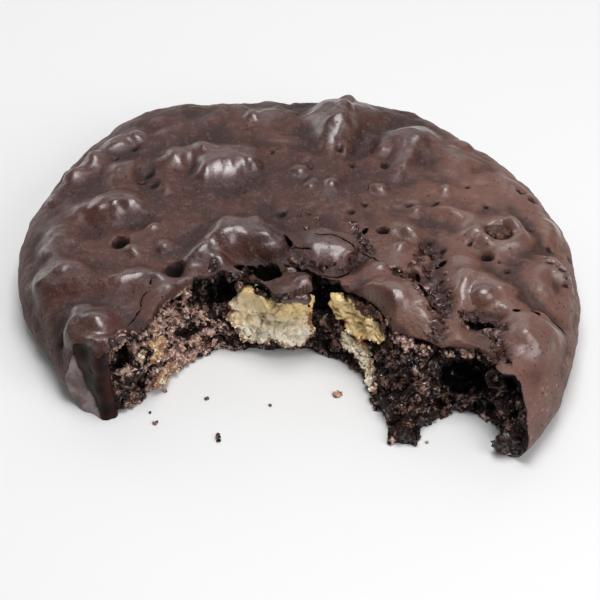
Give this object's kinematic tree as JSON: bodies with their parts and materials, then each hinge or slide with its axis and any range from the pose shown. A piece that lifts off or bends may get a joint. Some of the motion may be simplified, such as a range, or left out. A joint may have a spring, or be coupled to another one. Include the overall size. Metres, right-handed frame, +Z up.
{
  "type": "chocolate nut cookie",
  "caption": "Round chocolate cookie with a lumpy, shiny, cracked crust and a scalloped bite that shows dark crumb and pale walnut pieces.",
  "frame": {"origin": "middle of the bitten cookie's box on the surface it lies on", "axes": "+Z up out of the cookie's top, the bite faces -Y, +X to the right when the bite is seen from the front"},
  "size_m": [0.0993, 0.0868, 0.0201],
  "materials": {
    "crust": "semi-gloss, uneven dark chocolate crust with matt crumb at the bite",
    "walnut": "matt, broken walnut"
  },
  "bodies": {
    "root": {"cookie": "crust", "nut_centre": "walnut", "nut_right": "walnut", "nut_right_low": "walnut", "nut_left": "walnut", "nut_left_low": "walnut", "nut_top": "walnut"}
  },
  "joints": []
}
